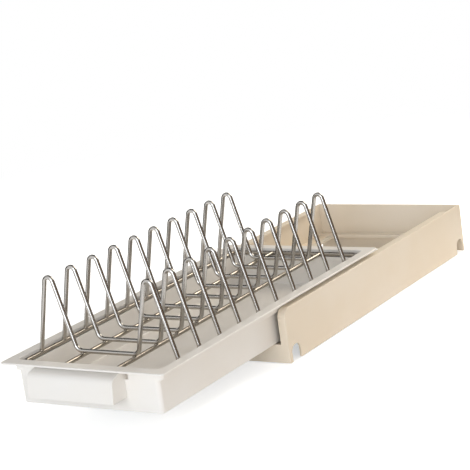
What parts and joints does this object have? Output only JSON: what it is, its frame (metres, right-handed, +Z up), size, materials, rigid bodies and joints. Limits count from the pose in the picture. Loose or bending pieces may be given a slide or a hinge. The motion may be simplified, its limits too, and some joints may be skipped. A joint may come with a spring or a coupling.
{
  "type": "pull-out cabinet organizer",
  "caption": "Low pull-out cabinet organizer: a shallow tray that carries a wire plate rack slides out of an open-fronted housing by a hooded pull.",
  "frame": {"origin": "on the surface it stands on, under the middle of the part's box with the tray pulled out", "axes": "+X to the right seen from the handle, +Y towards the rear wall of the housing, +Z up"},
  "size_m": [0.176, 0.5728, 0.1248],
  "materials": {
    "housing_plastic": "warm cream moulded plastic, fine matt grain",
    "tray_plastic": "off-white moulded plastic, smooth satin",
    "glide_plastic": "natural low-friction plastic",
    "wire_chrome": "bright plated round wire, spot-welded",
    "pad_rubber": "grey non-slip rubber"
  },
  "bodies": {
    "housing": {"housing": "housing_plastic", "glide_strip_left": "glide_plastic", "glide_strip_right": "glide_plastic", "foot_pad_front_left": "pad_rubber", "foot_pad_front_right": "pad_rubber", "foot_pad_rear_left": "pad_rubber", "foot_pad_rear_right": "pad_rubber"},
    "tray": {"tray": "tray_plastic", "handle": "tray_plastic", "hold_down_clip_left": "glide_plastic", "hold_down_clip_right": "glide_plastic"},
    "rack": {"rack_frame": "wire_chrome", "rack_rail_left": "wire_chrome", "rack_rail_right": "wire_chrome", "divider_01": "wire_chrome", "divider_02": "wire_chrome", "divider_03": "wire_chrome", "divider_04": "wire_chrome", "divider_05": "wire_chrome", "divider_06": "wire_chrome", "divider_07": "wire_chrome", "divider_08": "wire_chrome", "divider_09": "wire_chrome", "divider_10": "wire_chrome"}
  },
  "joints": [
    {"name": "tray_slide", "type": "slide", "parent": "housing", "child": "tray", "axis": [0, 1, 0], "range_m": [0, 0.1886]},
    {"name": "rack_lift", "type": "slide", "parent": "tray", "child": "rack", "axis": [0, 0, 1], "range_m": [0, 0.08]}
  ]
}
